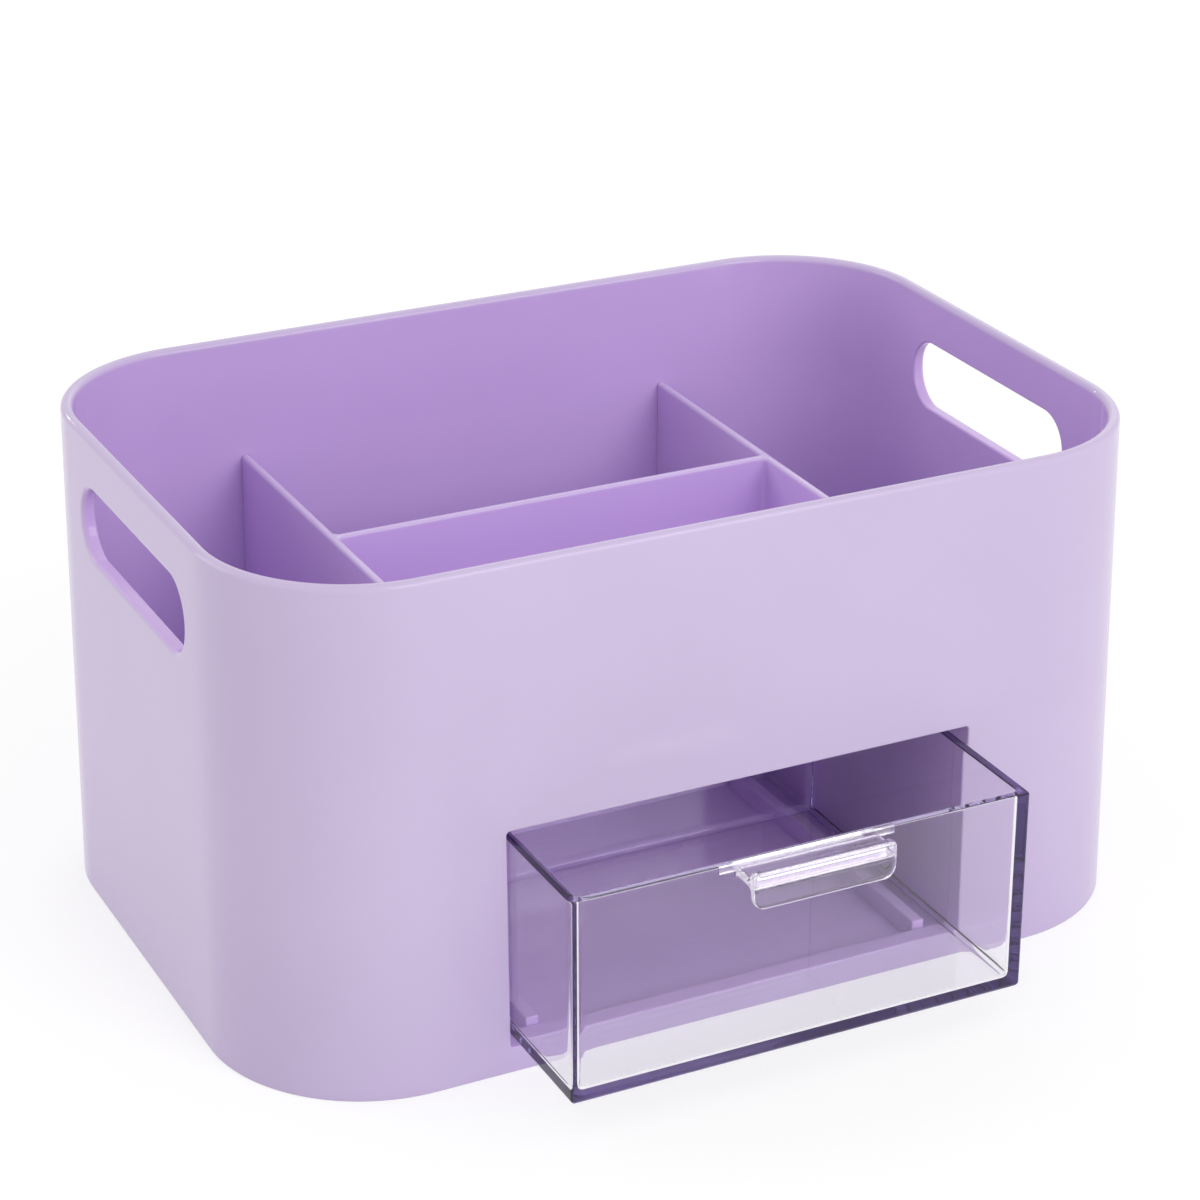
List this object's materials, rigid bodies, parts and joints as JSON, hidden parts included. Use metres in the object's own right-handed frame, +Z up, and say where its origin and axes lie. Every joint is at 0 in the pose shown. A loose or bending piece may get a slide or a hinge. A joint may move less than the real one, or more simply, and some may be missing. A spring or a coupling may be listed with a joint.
{
  "type": "makeup organizer",
  "caption": "Rounded tote with grip holes in its ends, open compartments inside, and a clear drawer with a pull that slides out of its front.",
  "frame": {"origin": "middle of the tote's flat underside, on the surface it stands on", "axes": "+X along the front to the right, +Y to the back (the drawer opens along -Y), +Z up"},
  "size_m": [0.2186, 0.1891, 0.1165],
  "materials": {
    "tote_plastic": "gloss lavender, moulded",
    "insert_plastic": "gloss lavender, moulded",
    "clear_drawer": "clear, polished",
    "clear_pull": "clear, polished"
  },
  "bodies": {
    "tote": {"tote_shell": "tote_plastic", "divider_insert": "insert_plastic"},
    "drawer": {"drawer_box": "clear_drawer", "drawer_pull": "clear_pull"}
  },
  "joints": [
    {"name": "drawer_slide", "type": "slide", "parent": "tote", "child": "drawer", "axis": [0, -1, 0], "range_m": [-0.03, 0.035]}
  ]
}
